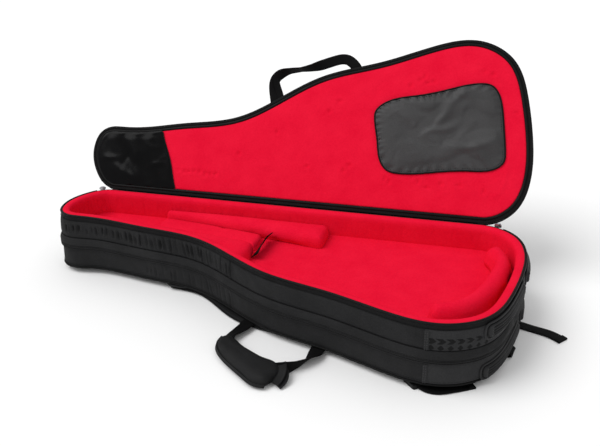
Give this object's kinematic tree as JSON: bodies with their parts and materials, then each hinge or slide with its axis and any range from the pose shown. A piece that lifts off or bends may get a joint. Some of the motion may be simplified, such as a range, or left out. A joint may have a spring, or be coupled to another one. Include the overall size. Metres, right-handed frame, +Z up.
{
  "type": "padded gig bag",
  "caption": "Padded guitar bag lying on its back with the lid open: red-lined guitar compartment over a second zipped compartment, side carry handle, bout cushion and neck cradle.",
  "frame": {"origin": "on the plane the bag rests on, on the lumbar pad's lower face, under the middle of the shell's plan", "axes": "+X along the lid hinge from the headstock end to the bout end, +Y from the zipped side to the hinge side, +Z up out of the compartment"},
  "size_m": [1.1509, 0.7159, 0.4946],
  "materials": {
    "nylon_black": "matte",
    "nylon_patch": "matte",
    "nylon_grey": "satin",
    "grip_nylon": "matte",
    "piping_black": "satin",
    "lining_red": "matte",
    "webbing_black": "matte",
    "strap_pad": "matte",
    "mesh_pad": "matte",
    "zip_tape": "matte",
    "gloss_guard": "gloss",
    "rubber_black": "satin",
    "buckle_plastic": "satin",
    "zip_metal": "satin",
    "pull_cord": "matte"
  },
  "bodies": {
    "lower_section": {"back_panel": "nylon_black", "lower_side_wall": "nylon_black", "lower_lining": "lining_red", "bottom_piping": "piping_black", "lower_bout_patch": "nylon_patch", "mid_zip_lower_tape": "zip_tape", "section_hinge_tape": "nylon_black", "lower_bumper_near": "rubber_black", "lower_bumper_far": "rubber_black", "neck_end_pad": "mesh_pad", "lumbar_pad": "mesh_pad", "bout_pad": "mesh_pad", "shoulder_strap_near": "strap_pad", "shoulder_strap_far": "strap_pad", "strap_yoke": "nylon_black", "strap_webbing_near": "webbing_black", "strap_webbing_far": "webbing_black", "ladder_lock_near": "buckle_plastic", "ladder_lock_far": "buckle_plastic", "strap_anchors": "webbing_black", "end_tab": "webbing_black", "carry_handle_anchors": "webbing_black"},
    "upper_section": {"upper_side_wall": "nylon_black", "divider_panel": "nylon_black", "upper_wall_lining": "lining_red", "compartment_floor": "lining_red", "rim_piping": "piping_black", "rim_zip_tape": "zip_tape", "upper_bout_patch": "nylon_patch", "mid_zip_upper_tape": "zip_tape", "mid_flap": "nylon_black", "upper_bumper_near": "rubber_black", "upper_bumper_far": "rubber_black", "neck_cradle_near": "lining_red", "neck_cradle_far": "lining_red", "neck_cradle_base": "lining_red", "neck_strap": "webbing_black", "bout_cushion": "lining_red", "cushion_hook_tabs": "webbing_black", "lid_hinge_tape": "nylon_black"},
    "lid": {"lid_shell": "nylon_black", "lid_lining": "lining_red", "lid_binding": "piping_black", "lid_zip_tape": "zip_tape", "headstock_guard": "gloss_guard", "bridge_guard": "nylon_grey", "front_pocket": "nylon_black", "front_pocket_zip": "zip_tape", "lid_handle_anchors": "webbing_black"},
    "carry_handle": {"carry_handle_webbing": "webbing_black", "carry_handle_grip": "grip_nylon"},
    "lid_handle": {"lid_handle_webbing": "webbing_black"},
    "rim_slider_bout": {"rim_slider_bout": "zip_metal"},
    "rim_slider_bout_pull": {"rim_slider_bout_pull": "pull_cord"},
    "rim_slider_head": {"rim_slider_head": "zip_metal"},
    "rim_slider_head_pull": {"rim_slider_head_pull": "pull_cord"},
    "mid_slider": {"mid_slider": "zip_metal"},
    "mid_slider_pull": {"mid_slider_pull": "pull_cord"},
    "pocket_slider": {"pocket_slider": "zip_metal"},
    "pocket_slider_pull": {"pocket_slider_pull": "pull_cord"}
  },
  "joints": [
    {"name": "section_hinge", "type": "hinge", "parent": "lower_section", "child": "upper_section", "pos_m": [0, 0.208, 0.0765], "axis": [-1, 0, 0], "range_deg": [0, 90]},
    {"name": "lid_hinge", "type": "hinge", "parent": "upper_section", "child": "lid", "pos_m": [0, 0.208, 0.147], "axis": [-1, 0, 0], "range_deg": [-122.9, 57.1]},
    {"name": "carry_handle_swing", "type": "hinge", "parent": "lower_section", "child": "carry_handle", "pos_m": [0.0645, -0.112, 0.012], "axis": [-0.9205, 0.3908, 0], "range_deg": [0, 60]},
    {"name": "lid_handle_swing", "type": "hinge", "parent": "lid", "child": "lid_handle", "pos_m": [0.019, 0.38108, 0.38876], "axis": [0.8999, 0.2368, 0.3661], "range_deg": [-55, 55]},
    {"name": "rim_slider_bout_slide", "type": "slide", "parent": "upper_section", "child": "rim_slider_bout", "axis": [1, 0, 0], "range_m": [0, 0.02]},
    {"name": "rim_slider_head_slide", "type": "slide", "parent": "upper_section", "child": "rim_slider_head", "axis": [-1, 0, 0], "range_m": [0, 0.02]},
    {"name": "mid_slider_slide", "type": "slide", "parent": "lower_section", "child": "mid_slider", "axis": [1, 0, 0], "range_m": [0, 0.02]},
    {"name": "pocket_slider_slide", "type": "slide", "parent": "lid", "child": "pocket_slider", "axis": [1, 0, 0], "range_m": [0, 0.27]},
    {"name": "rim_slider_bout_swing", "type": "hinge", "parent": "rim_slider_bout", "child": "rim_slider_bout_pull", "pos_m": [0.467, 0.2111, 0.145], "axis": [0, -1, 0], "range_deg": [-10, 60]},
    {"name": "rim_slider_head_swing", "type": "hinge", "parent": "rim_slider_head", "child": "rim_slider_head_pull", "pos_m": [-0.484, 0.2106, 0.145], "axis": [0, 1, 0], "range_deg": [-10, 60]},
    {"name": "mid_slider_swing", "type": "hinge", "parent": "mid_slider", "child": "mid_slider_pull", "pos_m": [0.47, 0.2101, 0.0715], "axis": [0, -1, 0], "range_deg": [-10, 60]},
    {"name": "pocket_slider_swing", "type": "hinge", "parent": "pocket_slider", "child": "pocket_slider_pull", "pos_m": [0.104, 0.25554, 0.16507], "axis": [0, 0.8396, -0.5432], "range_deg": [-60, 60]}
  ]
}
